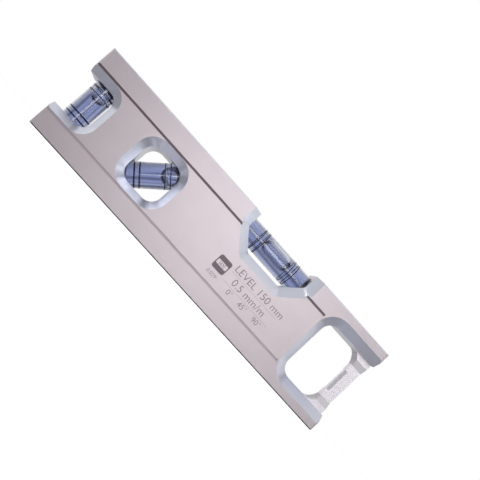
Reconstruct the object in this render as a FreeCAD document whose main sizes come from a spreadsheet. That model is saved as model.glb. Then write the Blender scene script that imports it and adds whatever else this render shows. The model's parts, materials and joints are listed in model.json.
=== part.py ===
import FreeCAD, Part
import math
import os

import Sketcher
from FreeCAD import Placement, Rotation, Vector

# A 150 mm spirit level machined from one aluminium bar, with three vials.
# +X runs along the bar, +Y from the front face to the back face, +Z up.
# The origin is the middle of the base, which the level stands on.

doc = FreeCAD.newDocument("spirit_level")
sheet = doc.addObject("Spreadsheet::Sheet", "sizes")


# A size knows its number and the sheet expression that it stands for.
class Size:
    def __init__(self, value, text):
        self.value = value
        self.text = text

    def __add__(self, other):
        other = as_size(other)
        return Size(self.value + other.value, f"({self.text} + {other.text})")

    def __sub__(self, other):
        other = as_size(other)
        return Size(self.value - other.value, f"({self.text} - {other.text})")

    def __mul__(self, other):
        other = as_size(other)
        return Size(self.value * other.value, f"({self.text} * {other.text})")

    def __truediv__(self, other):
        other = as_size(other)
        return Size(self.value / other.value, f"({self.text} / {other.text})")

    def __neg__(self):
        return Size(-self.value, f"(-1 * {self.text})")


def as_size(amount):
    if isinstance(amount, Size):
        return amount
    return Size(float(amount), repr(float(amount)))


sheet_row = 0


# Writes one driving dimension in the sheet and returns it by its name.
def size(name, value):
    global sheet_row
    sheet_row += 1
    sheet.set(f"A{sheet_row}", name)
    sheet.set(f"B{sheet_row}", str(value))
    sheet.setAlias(f"B{sheet_row}", name)
    return Size(value, f"sizes.{name}")


# The bar
length = size("length", 150.0)
height = size("height", 40.0)
thickness = size("thickness", 20.0)
edge_chamfer = size("edge_chamfer", 0.4)
end_chamfer = size("end_chamfer", 1.0)
groove_inset = size("groove_inset", 8.0)
groove_width = size("groove_width", 0.9)
groove_depth = size("groove_depth", 0.6)

# The base: a shallow channel for pipes, with round magnets in its floor
channel_width = size("channel_width", 12.0)
channel_depth = size("channel_depth", 1.8)
magnet_diameter = size("magnet_diameter", 8.0)
magnet_height = size("magnet_height", 3.0)
magnet_clearance = size("magnet_clearance", 0.05)
magnet_first_inset = size("magnet_first_inset", 23.0)
magnet_spacing = size("magnet_spacing", 32.0)
magnet_count = 4

# The notch of the plumb vial, open at the left end
notch_depth = size("notch_depth", 14.4)
notch_height = size("notch_height", 17.0)
notch_radius = size("notch_radius", 4.0)

# The window of the 45 degree vial
diagonal_window = size("diagonal_window", 17.0)
diagonal_window_radius = size("diagonal_window_radius", 4.8)
window_bevel = size("window_bevel", 3.0)

# The window of the level vial, open at the top edge
level_window_width = size("level_window_width", 31.0)
level_window_depth = size("level_window_depth", 13.3)
level_window_slant = size("level_window_slant", 7.0)
level_window_radius = size("level_window_radius", 2.0)
level_window_bevel = size("level_window_bevel", 3.6)

# The strap window and the recessed bar that closes it
strap_window_width = size("strap_window_width", 19.0)
strap_prong_height = size("strap_prong_height", 7.0)
strap_window_radius = size("strap_window_radius", 4.8)
strap_bevel = size("strap_bevel", 3.6)
strap_bar_width = size("strap_bar_width", 5.0)
strap_bar_thickness = size("strap_bar_thickness", 7.6)
strap_bar_waist = size("strap_bar_waist", 4.4)
strap_bar_shoulder = size("strap_bar_shoulder", 2.3)
strap_bar_slope = size("strap_bar_slope", 2.7)
strap_pad_inset = size("strap_pad_inset", 3.0)
strap_pad_chamfer = size("strap_pad_chamfer", 1.1)

# The least land that each window keeps before it, and the part that it gets of the spare length.
# The land before the level window also holds the 45 degree vial's socket.
diagonal_least_land = size("diagonal_least_land", 6.1)
level_least_land = size("level_least_land", 23.28)
strap_least_land = size("strap_least_land", 8.22)
diagonal_share = size("diagonal_share", 0.5)
level_share = size("level_share", 0.22)

# The vials: clear tubes with a barrel-shaped chamber, a plug and four black rings
vial_diameter = size("vial_diameter", 10.0)
vial_chamfer = size("vial_chamfer", 0.3)
vial_clearance = size("vial_clearance", 0.05)
chamber_diameter = size("chamber_diameter", 7.0)
chamber_crown = size("chamber_crown", 0.1)
vial_end_wall = size("vial_end_wall", 3.0)
vial_plug_diameter = size("vial_plug_diameter", 7.4)
ring_width = size("ring_width", 0.35)
ring_depth = size("ring_depth", 0.3)
ring_gap = size("ring_gap", 2.05)
liquid_clearance = size("liquid_clearance", 0.03)
bubble_clearance = size("bubble_clearance", 0.15)
level_vial_length = size("level_vial_length", 40.0)
level_vial_drop = size("level_vial_drop", 6.5)
level_bubble_length = size("level_bubble_length", 13.6)
plumb_vial_length = size("plumb_vial_length", 28.0)
plumb_vial_inset = size("plumb_vial_inset", 7.7)
diagonal_vial_length = size("diagonal_vial_length", 30.0)
short_bubble_length = size("short_bubble_length", 8.8)
bubble_diameter = size("bubble_diameter", 5.8)
bubble_lift = size("bubble_lift", 1.2)
slope = Size(45.0, "45")

doc.recompute()

half_length = length / 2
half_thickness = thickness / 2
half_height = height / 2
overshoot = thickness

windows = notch_depth + diagonal_window + level_window_width + strap_window_width + strap_bar_width
spare = length - windows - diagonal_least_land - level_least_land - strap_least_land
notch_right = notch_depth - half_length
diagonal_left = notch_right + diagonal_least_land + spare * diagonal_share
diagonal_right = diagonal_left + diagonal_window
level_left = diagonal_right + level_least_land + spare * level_share
level_right = level_left + level_window_width

level_x = level_left + level_window_width / 2
level_z = height - level_vial_drop
plumb_x = plumb_vial_inset - half_length
diagonal_x = diagonal_left + diagonal_window / 2
socket_radius = vial_diameter / 2 + vial_clearance


# Ties one property of an object to the sheet.
def bind(thing, path, amount):
    amount = as_size(amount)
    if "." not in path:
        setattr(thing, path, amount.value)
    thing.setExpression(path, amount.text)


def new_object(kind, name):
    thing = doc.addObject(kind, name)
    thing.Label = name
    return thing


def new_body(name):
    return new_object("PartDesign::Body", name)


def origin_feature(body, role):
    return next(item for item in body.Origin.OriginFeatures if item.Role == role)


# Places an object at a point that is tied to the sheet.
def place(thing, at=(0, 0, 0), rotation=Rotation(), path="Placement"):
    point = [as_size(amount) for amount in at]
    placement = Placement(Vector(*[amount.value for amount in point]), rotation)
    setattr(thing, path, placement)
    for axis, amount in zip("xyz", point):
        thing.setExpression(f"{path}.Base.{axis}", amount.text)


def new_sketch(body, name, role, offset=None):
    sketch = body.newObject("Sketcher::SketchObject", name)
    sketch.AttachmentSupport = (origin_feature(body, role), [""])
    sketch.MapMode = "FlatFace"
    if offset is not None:
        bind(sketch, "AttachmentOffset.Base.z", offset)
    return sketch


# Pins one point of a sketch to its distances from the sketch's origin.
def pin_point(sketch, edge, end, across, up):
    for kind, amount in (("DistanceX", across), ("DistanceY", up)):
        index = sketch.addConstraint(Sketcher.Constraint(kind, -1, 1, edge, end, amount.value))
        name = f"{kind}_{edge}_{end}"
        sketch.renameConstraint(index, name)
        sketch.setExpression(f"Constraints.{name}", amount.text)


def flat(across, up):
    return Vector(across.value, up.value, 0)


# Draws a closed outline of straight edges through points given as sizes.
def add_polygon(sketch, points):
    points = [(as_size(across), as_size(up)) for across, up in points]
    first = sketch.GeometryCount
    count = len(points)
    for index, point in enumerate(points):
        following = points[(index + 1) % count]
        sketch.addGeometry(Part.LineSegment(flat(*point), flat(*following)), False)
    for index, point in enumerate(points):
        here = first + index
        before = first + (index - 1) % count
        sketch.addConstraint(Sketcher.Constraint("Coincident", before, 2, here, 1))
        pin_point(sketch, here, 1, *point)


def add_circle(sketch, across, up, radius):
    across, up, radius = as_size(across), as_size(up), as_size(radius)
    edge = sketch.addGeometry(Part.Circle(flat(across, up), Vector(0, 0, 1), radius.value), False)
    pin_point(sketch, edge, 3, across, up)
    index = sketch.addConstraint(Sketcher.Constraint("Radius", edge, radius.value))
    sketch.renameConstraint(index, f"radius_{edge}")
    sketch.setExpression(f"Constraints.radius_{edge}", radius.text)


# Draws the half section of a barrel: straight ends and one long shallow arc.
def add_barrel(sketch, half, mid_radius, sagitta):
    end_radius = mid_radius - sagitta
    zero = as_size(0)
    corners = [(zero, -half), (end_radius, -half), (end_radius, half), (zero, half)]
    lower = sketch.addGeometry(Part.LineSegment(flat(*corners[0]), flat(*corners[1])), False)
    arc = Part.Arc(flat(*corners[1]), flat(mid_radius, zero), flat(*corners[2]))
    side = sketch.addGeometry(arc, False)
    upper = sketch.addGeometry(Part.LineSegment(flat(*corners[2]), flat(*corners[3])), False)
    axis = sketch.addGeometry(Part.LineSegment(flat(*corners[3]), flat(*corners[0])), False)
    for before, after in ((lower, side), (side, upper), (upper, axis), (axis, lower)):
        sketch.addConstraint(Sketcher.Constraint("Coincident", before, 2, after, 1))
    for edge, corner in ((lower, corners[0]), (side, corners[1]), (upper, corners[2]), (axis, corners[3])):
        pin_point(sketch, edge, 1, *corner)
    radius = (half * half + sagitta * sagitta) / (sagitta * 2)
    index = sketch.addConstraint(Sketcher.Constraint("Radius", side, radius.value))
    sketch.renameConstraint(index, "crown_radius")
    sketch.setExpression("Constraints.crown_radius", radius.text)


# Draws the half section of a capsule: a straight side between two quarter circles.
def add_capsule(sketch, half, radius):
    zero = as_size(0)
    shoulder = half - radius
    corners = [(zero, -half), (radius, -shoulder), (radius, shoulder), (zero, half)]
    edges = []
    for number, (tip, at) in enumerate(((corners[0], -shoulder), (corners[3], shoulder))):
        center = flat(zero, at)
        start = -math.pi / 2 * (1 - number)
        arc = Part.ArcOfCircle(Part.Circle(center, Vector(0, 0, 1), radius.value), start, start + math.pi / 2)
        edges.append(sketch.addGeometry(arc, False))
    side = sketch.addGeometry(Part.LineSegment(flat(*corners[1]), flat(*corners[2])), False)
    axis = sketch.addGeometry(Part.LineSegment(flat(*corners[3]), flat(*corners[0])), False)
    lower, upper = edges
    for before, after in ((lower, side), (side, upper), (upper, axis), (axis, lower)):
        sketch.addConstraint(Sketcher.Constraint("Coincident", before, 2, after, 1))
    for edge, corner in ((lower, corners[0]), (side, corners[1]), (upper, corners[2]), (axis, corners[3])):
        pin_point(sketch, edge, 1, *corner)
    for name, edge in (("lower_radius", lower), ("upper_radius", upper)):
        index = sketch.addConstraint(Sketcher.Constraint("Radius", edge, radius.value))
        sketch.renameConstraint(index, name)
        sketch.setExpression(f"Constraints.{name}", radius.text)


def pad(body, sketch, depth):
    feature = body.newObject("PartDesign::Pad", sketch.Name + "_pad")
    feature.Profile = sketch
    feature.SideType = "Symmetric"
    bind(feature, "Length", depth)
    doc.recompute()
    return feature


# Cuts a sketch's outline out of a body and makes sure that the cut takes something away.
def pocket(body, sketch, depth=None, reverse=False):
    before = body.Shape.Volume
    feature = body.newObject("PartDesign::Pocket", sketch.Name + "_cut")
    feature.Profile = sketch
    if depth is None:
        feature.SideType = "Symmetric"
        bind(feature, "Length", length * 2)
    else:
        feature.Reversed = reverse
        bind(feature, "Length", depth)
    doc.recompute()
    if not body.Shape.Volume < before:
        raise RuntimeError(f"{sketch.Name} cuts nothing")
    return feature


def drill(body, name, radius, depth, at, rotation=Rotation()):
    before = body.Shape.Volume
    feature = body.newObject("PartDesign::SubtractiveCylinder", name)
    feature.Refine = False
    feature.AttachmentSupport = (origin_feature(body, "XY_Plane"), [""])
    feature.MapMode = "FlatFace"
    bind(feature, "Radius", radius)
    bind(feature, "Height", depth)
    place(feature, at, rotation, "AttachmentOffset")
    doc.recompute()
    if not body.Shape.Volume < before:
        raise RuntimeError(f"{name} cuts nothing")
    return feature


def revolve(body, sketch, kind):
    feature = body.newObject(f"PartDesign::{kind}", sketch.Name + "_turned")
    feature.Profile = sketch
    feature.ReferenceAxis = (sketch, ["V_Axis"])
    doc.recompute()
    return feature


# Names the edges of a body whose middle passes a test.
def edges_where(body, test):
    found = []
    for number, edge in enumerate(body.Shape.Edges, 1):
        middle = edge.valueAt((edge.FirstParameter + edge.LastParameter) / 2)
        if test(edge, middle):
            found.append(f"Edge{number}")
    return found


def fillet(body, name, edges, radius):
    base = body.Tip
    feature = body.newObject("PartDesign::Fillet", name)
    feature.Base = (base, edges)
    bind(feature, "Radius", radius)
    doc.recompute()


def chamfer(body, name, edges, width):
    base = body.Tip
    feature = body.newObject("PartDesign::Chamfer", name)
    feature.Base = (base, edges)
    bind(feature, "Size", width)
    doc.recompute()


NEAR = 1e-4


def between(value, low, high):
    return low - NEAR < value < high + NEAR


# Rounds the upright corners of a cut whose corners lie in the given range.
def round_corners(body, name, span, radius):
    low_x, high_x, low_z, high_z = [as_size(amount).value for amount in span]

    def is_corner(edge, middle):
        start, end = edge.Vertexes[0].Point, edge.Vertexes[-1].Point
        crosswise = abs(start.x - end.x) < NEAR and abs(start.z - end.z) < NEAR
        inside = between(middle.x, low_x, high_x) and between(middle.z, low_z, high_z)
        return crosswise and inside and edge.Length > NEAR

    fillet(body, name, edges_where(body, is_corner), radius)


# Bevels the rim of a cut, on both faces of the bar.
def bevel_rim(body, name, span, width):
    low_x, high_x, low_z, high_z = [as_size(amount).value for amount in span]
    half = half_thickness.value

    def is_rim(edge, middle):
        on_face = all(abs(abs(vertex.Point.y) - half) < NEAR for vertex in edge.Vertexes)
        on_face = on_face and abs(abs(middle.y) - half) < NEAR
        open_side = middle.z > height.value - NEAR or abs(middle.x) > half_length.value - NEAR
        inside = between(middle.x, low_x, high_x) and between(middle.z, low_z, high_z)
        return on_face and inside and not open_side

    chamfer(body, name, edges_where(body, is_rim), width)


# The machined bar

body = new_body("body")

block = new_sketch(body, "block", "XZ_Plane")
add_polygon(block, [
    (-half_length, 0),
    (half_length, 0),
    (half_length, height),
    (-half_length, height),
])
pad(body, block, thickness)

# Plumb notch
notch_low = half_height - notch_height / 2
notch_high = half_height + notch_height / 2
notch = new_sketch(body, "notch", "XZ_Plane")
add_polygon(notch, [
    (-half_length - overshoot, notch_low),
    (notch_right, notch_low),
    (notch_right, notch_high),
    (-half_length - overshoot, notch_high),
])
pocket(body, notch)
notch_span = (-half_length, notch_right, notch_low, notch_high)
round_corners(body, "notch_corners", (notch_right, notch_right, notch_low, notch_high), notch_radius)
bevel_rim(body, "notch_bevel", notch_span, window_bevel)

# Window of the 45 degree vial
diagonal_low = half_height - diagonal_window / 2
diagonal_high = half_height + diagonal_window / 2
diagonal_cut = new_sketch(body, "diagonal_window_outline", "XZ_Plane")
add_polygon(diagonal_cut, [
    (diagonal_left, diagonal_low),
    (diagonal_right, diagonal_low),
    (diagonal_right, diagonal_high),
    (diagonal_left, diagonal_high),
])
pocket(body, diagonal_cut)
diagonal_span = (diagonal_left, diagonal_right, diagonal_low, diagonal_high)
round_corners(body, "diagonal_window_corners", diagonal_span, diagonal_window_radius)
bevel_rim(body, "diagonal_window_bevel", diagonal_span, window_bevel)

# Window of the level vial: upright sides, slanted lower corners, open top
level_floor = height - level_window_depth
level_shoulder = level_floor + level_window_slant
level_cut = new_sketch(body, "level_window_outline", "XZ_Plane")
add_polygon(level_cut, [
    (level_left, height + overshoot),
    (level_left, level_shoulder),
    (level_left + level_window_slant, level_floor),
    (level_right - level_window_slant, level_floor),
    (level_right, level_shoulder),
    (level_right, height + overshoot),
])
pocket(body, level_cut)
level_span = (level_left, level_right, level_floor, height)
level_corner_span = (level_left, level_right, level_floor, level_shoulder)
round_corners(body, "level_window_corners", level_corner_span, level_window_radius)
bevel_rim(body, "level_window_bevel", level_span, level_window_bevel)

# Strap window, then the recess that leaves its end bar below both faces
strap_right = half_length - strap_bar_width
strap_left = strap_right - strap_window_width
strap_low = strap_prong_height
strap_high = height - strap_prong_height
strap_middle = (strap_left + strap_right) / 2
strap_cut = new_sketch(body, "strap_window_outline", "XZ_Plane")
add_polygon(strap_cut, [
    (strap_left, strap_low),
    (strap_right, strap_low),
    (strap_right, strap_high),
    (strap_left, strap_high),
])
pocket(body, strap_cut)
strap_corner_span = (strap_left, strap_right, strap_low, strap_high)
round_corners(body, "strap_window_corners", strap_corner_span, strap_window_radius)

bar_recess = (thickness - strap_bar_thickness) / 2
for side, turn in (("front", False), ("back", True)):
    face = half_thickness if side == "front" else -half_thickness
    recess = new_sketch(body, f"strap_recess_{side}", "XZ_Plane", face)
    add_polygon(recess, [
        (strap_middle, strap_low),
        (half_length + overshoot, strap_low),
        (half_length + overshoot, strap_high),
        (strap_middle, strap_high),
    ])
    pocket(body, recess, bar_recess, turn)
strap_span = (strap_left, half_length, strap_low, strap_high)
bevel_rim(body, "strap_bevel", strap_span, strap_bevel)

# The end bar is thinner in its middle, with a slope at each end of the waist
bar_face = strap_bar_thickness / 2
waist_face = strap_bar_waist / 2
waist_low = strap_low + strap_bar_shoulder + strap_bar_slope
waist_high = strap_high - strap_bar_shoulder - strap_bar_slope
waist = new_sketch(body, "strap_bar_waist_outline", "YZ_Plane", half_length)
for sign in (1, -1):
    add_polygon(waist, [
        (waist_face * sign, waist_low),
        (waist_face * sign, waist_high),
        (bar_face * sign, waist_high + strap_bar_slope),
        (half_thickness * sign, waist_high + strap_bar_slope),
        (half_thickness * sign, waist_low - strap_bar_slope),
        (bar_face * sign, waist_low - strap_bar_slope),
    ])
pocket(body, waist, strap_window_width / 2 + strap_bar_width)

# A short chamfer on the inner edges of the waist, where a strap bears
pad_low = waist_low + strap_pad_inset
pad_length = waist_high - strap_pad_inset - pad_low
strap_pad = new_sketch(body, "strap_pad_outline", "XY_Plane", pad_low)
for sign in (1, -1):
    add_polygon(strap_pad, [
        (strap_right, (waist_face - strap_pad_chamfer) * sign),
        (strap_right + strap_pad_chamfer, waist_face * sign),
        (strap_right, waist_face * sign),
    ])
pocket(body, strap_pad, pad_length, True)

# Two long grooves on each face, up to the strap window's bevel
groove_end = strap_left - strap_bevel
for side, turn in (("front", False), ("back", True)):
    face = half_thickness if side == "front" else -half_thickness
    grooves = new_sketch(body, f"grooves_{side}", "XZ_Plane", face)
    for middle in (groove_inset, height - groove_inset):
        add_polygon(grooves, [
            (-half_length - overshoot, middle - groove_width / 2),
            (groove_end, middle - groove_width / 2),
            (groove_end, middle + groove_width / 2),
            (-half_length - overshoot, middle + groove_width / 2),
        ])
    pocket(body, grooves, groove_depth, turn)

# Pipe channel along the base, with sloping sides
channel = new_sketch(body, "channel", "YZ_Plane")
channel_floor = channel_width / 2 - channel_depth
add_polygon(channel, [
    (-channel_width / 2, 0),
    (-channel_width / 2, -overshoot),
    (channel_width / 2, -overshoot),
    (channel_width / 2, 0),
    (channel_floor, channel_depth),
    (-channel_floor, channel_depth),
])
pocket(body, channel)

magnet_places = [magnet_first_inset - half_length + magnet_spacing * number for number in range(magnet_count)]
magnet_seats = new_sketch(body, "magnet_seats", "XY_Plane")
for magnet_x in magnet_places:
    add_circle(magnet_seats, magnet_x, 0, magnet_diameter / 2 + magnet_clearance)
pocket(body, magnet_seats, channel_depth + magnet_height + magnet_clearance, True)

# Sockets: the two upright vials go in through holes drilled from the top edge
along_x = Rotation(Vector(0, 1, 0), 90)
tilted = Rotation(Vector(0, 1, 0), slope.value)
slope_cosine = Size(math.cos(math.radians(slope.value)), f"cos({slope.text} deg)")
slope_sine = Size(math.sin(math.radians(slope.value)), f"sin({slope.text} deg)")

plumb_bottom = half_height - plumb_vial_length / 2 - vial_clearance
drill(body, "plumb_socket", socket_radius, height, (plumb_x, 0, plumb_bottom))

diagonal_reach = diagonal_vial_length / 2 + vial_clearance
diagonal_start = (diagonal_x - diagonal_reach * slope_sine, 0, half_height - diagonal_reach * slope_cosine)
diagonal_drill_length = height / slope_cosine
drill(body, "diagonal_socket", socket_radius, diagonal_drill_length, diagonal_start, tilted)

# The level vial is laid in from above, in slots that its two saddles close
level_slot_half = level_vial_length / 2 + vial_clearance
drill(body, "level_socket", socket_radius, level_slot_half * 2, (level_x - level_slot_half, 0, level_z), along_x)
slot = new_sketch(body, "level_slot", "XY_Plane", level_z)
add_polygon(slot, [
    (level_x - level_slot_half, -socket_radius),
    (level_x + level_slot_half, -socket_radius),
    (level_x + level_slot_half, socket_radius),
    (level_x - level_slot_half, socket_radius),
])
pocket(body, slot, level_vial_drop + overshoot, True)

# Broken edges: a wide chamfer round each end's upright edges and a narrow one along the bar
ends = new_sketch(body, "end_edges", "XY_Plane")
for end in (1, -1):
    for side in (1, -1):
        add_polygon(ends, [
            ((half_length - end_chamfer) * end, half_thickness * side),
            ((half_length + end_chamfer) * end, (half_thickness + end_chamfer * 2) * side),
            ((half_length + end_chamfer) * end, half_thickness * side),
            (half_length * end, (half_thickness - end_chamfer) * side),
        ])
pocket(body, ends)
long_edges = new_sketch(body, "long_edges", "YZ_Plane")
for side in (1, -1):
    for level, away in ((as_size(0), 1), (height, -1)):
        add_polygon(long_edges, [
            ((half_thickness - edge_chamfer) * side, level),
            ((half_thickness - edge_chamfer) * side, level - edge_chamfer * away),
            ((half_thickness + edge_chamfer) * side, level - edge_chamfer * away),
            ((half_thickness + edge_chamfer) * side, level + edge_chamfer * away),
            (half_thickness * side, level + edge_chamfer * away),
        ])
pocket(body, long_edges)

nodes = [body]


def cylinder(name, radius, depth, at=(0, 0, 0), rotation=Rotation()):
    solid = new_object("Part::Cylinder", name)
    bind(solid, "Radius", radius)
    bind(solid, "Height", depth)
    place(solid, at, rotation)
    return solid


def box(name, long, wide, high, at):
    solid = new_object("Part::Box", name)
    bind(solid, "Length", long)
    bind(solid, "Width", wide)
    bind(solid, "Height", high)
    place(solid, at)
    return solid


def combine(kind, name, base, tool):
    result = new_object(f"Part::{kind}", name)
    result.Base = base
    result.Tool = tool
    return result


# A bubble is a capsule of air, trimmed by the chamber's wall where it is lifted against it
def bubble_solid(name, bubble_length, grown, lift, along):
    air = new_body(f"{name}_air")
    outline = new_sketch(air, f"{name}_air_outline", "XZ_Plane")
    add_capsule(outline, bubble_length / 2 + grown, bubble_diameter / 2 + grown)
    revolve(air, outline, "Revolution")
    place(air, (-lift, 0, along))
    keep_radius = chamber_diameter / 2 - chamber_crown - bubble_clearance + grown
    keep = cylinder(f"{name}_keep", keep_radius, bubble_length + grown * 4,
                    (0, 0, along - bubble_length / 2 - grown * 2))
    return combine("Common", name, air, keep)


# One vial at its own origin, with its axis along Z, and everything that is in it.
# The chamber's closed end is at the bottom and the plug is at the top.
def build_vial(name, vial_length, bubble_length, bubble_at, lift, at, rotation):
    half = vial_length / 2
    chamber_half = half - vial_end_wall
    radius = vial_diameter / 2

    tube = new_body(f"{name}_vial")
    outside = new_sketch(tube, f"{name}_vial_outside", "XZ_Plane")
    add_polygon(outside, [
        (0, -half),
        (radius - vial_chamfer, -half),
        (radius, -half + vial_chamfer),
        (radius, half - vial_chamfer),
        (radius - vial_chamfer, half),
        (0, half),
    ])
    revolve(tube, outside, "Revolution")
    chamber = new_sketch(tube, f"{name}_chamber", "XZ_Plane")
    add_barrel(chamber, chamber_half, chamber_diameter / 2, chamber_crown)
    revolve(tube, chamber, "Groove")
    plug_radius = vial_plug_diameter / 2
    drill(tube, f"{name}_plug_seat", plug_radius + vial_clearance, vial_end_wall * 2, (0, 0, chamber_half))
    ring_places = [bubble_length / 2 + ring_gap * share for share in (0.15, 1.15)]
    ring_places = [-ring_places[1], -ring_places[0], ring_places[0], ring_places[1]]
    seats = new_sketch(tube, f"{name}_ring_seats", "XZ_Plane")
    for middle in ring_places:
        add_polygon(seats, [
            (radius - ring_depth, middle - ring_width / 2),
            (radius * 2, middle - ring_width / 2),
            (radius * 2, middle + ring_width / 2),
            (radius - ring_depth, middle + ring_width / 2),
        ])
    revolve(tube, seats, "Groove")

    plug = cylinder(f"{name}_vial_plug", plug_radius, vial_end_wall)
    fill = new_body(f"{name}_fill")
    fill_outline = new_sketch(fill, f"{name}_fill_outline", "XZ_Plane")
    fill_half = chamber_half - liquid_clearance
    add_barrel(fill_outline, fill_half, chamber_diameter / 2 - liquid_clearance, chamber_crown)
    revolve(fill, fill_outline, "Revolution")
    hollow = bubble_solid(f"{name}_hollow", bubble_length, bubble_clearance, lift, bubble_at)
    liquid = combine("Cut", f"{name}_liquid", fill, hollow)
    bubble = bubble_solid(f"{name}_bubble", bubble_length, as_size(0), lift, bubble_at)

    rings = []
    for number, middle in enumerate(ring_places, 1):
        ring_base = (0, 0, middle - ring_width / 2)
        outer = cylinder(f"{name}_ring_{number}_outer", radius, ring_width, ring_base)
        inner = cylinder(f"{name}_ring_{number}_inner", radius - ring_depth, ring_width, ring_base)
        rings.append(combine("Cut", f"{name}_ring_{number}", outer, inner))

    pieces = [tube, liquid, bubble] + rings
    for piece in pieces:
        place(piece, at, rotation)
    plug_base = rotation.multVec(Vector(0, 0, 1))
    plug_at = [as_size(start) + chamber_half * reach for start, reach in zip(at, plug_base)]
    place(plug, plug_at, rotation)
    nodes.extend([tube, plug, liquid, bubble] + rings)


# The level bubble rests in the middle; the two others have risen to their upper ends
level_at = (level_x, 0, level_z)
build_vial("level", level_vial_length, level_bubble_length, as_size(0), bubble_lift, level_at, along_x)

plumb_rest = plumb_vial_length / 2 - vial_end_wall - short_bubble_length / 2 - bubble_clearance
plumb_at = (plumb_x, 0, half_height)
build_vial("plumb", plumb_vial_length, short_bubble_length, plumb_rest, as_size(0), plumb_at, Rotation())

diagonal_rest = diagonal_vial_length / 2 - vial_end_wall - short_bubble_length / 2 - bubble_clearance
diagonal_at = (diagonal_x, 0, half_height)
build_vial("diagonal", diagonal_vial_length, short_bubble_length, diagonal_rest, as_size(0), diagonal_at, tilted)

# Saddles close the two slots over the level vial's ends, flush with the top edge
saddle_width = socket_radius * 2 - vial_clearance * 2
saddle_long = level_slot_half - level_window_width / 2 - vial_clearance
for name, saddle_x in (
    ("level_saddle_left", level_x - level_slot_half + vial_clearance),
    ("level_saddle_right", level_right),
):
    blank = box(f"{name}_blank", saddle_long, saddle_width, level_vial_drop, (saddle_x, -saddle_width / 2, level_z))
    relief = cylinder(f"{name}_relief", socket_radius, saddle_long, (saddle_x, 0, level_z), along_x)
    nodes.append(combine("Cut", name, blank, relief))

# Plugs close the two drilled holes above the upright vials, flush with the top edge
bore_plug_radius = vial_diameter / 2
plumb_plug_base = half_height + plumb_vial_length / 2 + vial_clearance
nodes.append(cylinder("plumb_bore_plug", bore_plug_radius, height - plumb_plug_base, (plumb_x, 0, plumb_plug_base)))

diagonal_plug_base = (diagonal_x + diagonal_reach * slope_sine, 0, half_height + diagonal_reach * slope_cosine)
rod = cylinder("diagonal_bore_rod", bore_plug_radius, height, diagonal_plug_base, tilted)
below_top = box("diagonal_bore_keep", length, thickness, height, (-half_length, -half_thickness, 0))
nodes.append(combine("Common", "diagonal_bore_plug", rod, below_top))

# Round magnets in the channel's floor
for number, magnet_x in enumerate(magnet_places, 1):
    magnet = cylinder(f"base_magnet_{number}", magnet_diameter / 2, magnet_height, (magnet_x, 0, channel_depth))
    nodes.append(magnet)

doc.recompute()

for item in doc.Objects:
    if "Invalid" in item.State or "Error" in item.State:
        raise RuntimeError(f"{item.Label} failed: {item.State}")
for node in nodes:
    shape = node.Shape
    if shape.isNull() or not shape.isValid() or not shape.Solids:
        raise RuntimeError(f"{node.Label} has no valid solid")

os.makedirs("parts", exist_ok=True)
for node in nodes:
    node.Shape.exportStep(f"parts/{node.Label}.step")
    print(node.Label, len(node.Shape.Solids), round(node.Shape.Volume, 2), node.Shape.BoundBox)
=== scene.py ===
# %% [markdown]
# # A pocket spirit level in Blender
# The level is one machined aluminium bar with three liquid vials in its windows. Its
# exact solids come from a CAD model, called the frame here, and the bar's size, the
# vials' places and the bubbles' lengths are read from them. This lesson gives the bar
# its edges and finishes, builds the vials as layers that bend light, prints the face,
# and lights the whole like a product photograph.

# %% Load the frame
import json
import math

import bpy
from mathutils import Matrix, Vector

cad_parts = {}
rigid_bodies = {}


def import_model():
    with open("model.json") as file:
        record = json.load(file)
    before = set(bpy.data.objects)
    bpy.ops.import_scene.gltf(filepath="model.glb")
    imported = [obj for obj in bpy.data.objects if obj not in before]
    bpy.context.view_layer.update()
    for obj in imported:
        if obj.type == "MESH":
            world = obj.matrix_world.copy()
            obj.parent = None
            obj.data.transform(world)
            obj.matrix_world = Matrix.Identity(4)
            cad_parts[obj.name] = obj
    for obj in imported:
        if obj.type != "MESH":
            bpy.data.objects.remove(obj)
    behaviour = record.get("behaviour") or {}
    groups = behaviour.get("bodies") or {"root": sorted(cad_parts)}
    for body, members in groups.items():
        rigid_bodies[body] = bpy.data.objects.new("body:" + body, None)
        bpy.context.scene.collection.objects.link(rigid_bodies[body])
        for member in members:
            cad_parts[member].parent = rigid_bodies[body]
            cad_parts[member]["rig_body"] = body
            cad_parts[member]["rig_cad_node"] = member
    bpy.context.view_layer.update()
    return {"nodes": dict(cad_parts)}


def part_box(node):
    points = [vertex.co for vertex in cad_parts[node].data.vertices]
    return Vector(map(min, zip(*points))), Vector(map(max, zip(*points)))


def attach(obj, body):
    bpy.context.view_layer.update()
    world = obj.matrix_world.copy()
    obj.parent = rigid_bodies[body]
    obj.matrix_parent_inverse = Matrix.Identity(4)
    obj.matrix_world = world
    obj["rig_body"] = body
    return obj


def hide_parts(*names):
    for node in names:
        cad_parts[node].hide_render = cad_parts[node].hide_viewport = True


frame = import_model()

MM = 0.001
MICRON = 0.001 * MM

# %% [markdown]
# ## Sizes that the pieces share
# The bar's own box tells how long, deep and high it is. A slanted vial fills its box
# badly, so the box can't tell which way it lies. Its first and last ring can: the line
# through them gives the vial's middle and direction, and the mesh's reach along that
# line gives its length.

# %% Measure the bar and the vials
_, bar_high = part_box("body")
BAR_HALF_LENGTH, BAR_HALF_DEPTH, BAR_HEIGHT = bar_high
VIALS = ("level", "plumb", "diagonal")
RINGS_PER_VIAL = 4


def box_middle(node):
    low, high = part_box(node)
    return (low + high) / 2


def vial_line(vial):
    """The vial's middle, the direction that it lies in, and the middles of its rings."""
    rings = [box_middle(f"{vial}_ring_{number}") for number in range(1, RINGS_PER_VIAL + 1)]
    along = (rings[-1] - rings[0]).normalized()
    return (rings[0] + rings[-1]) / 2, along, rings


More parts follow.
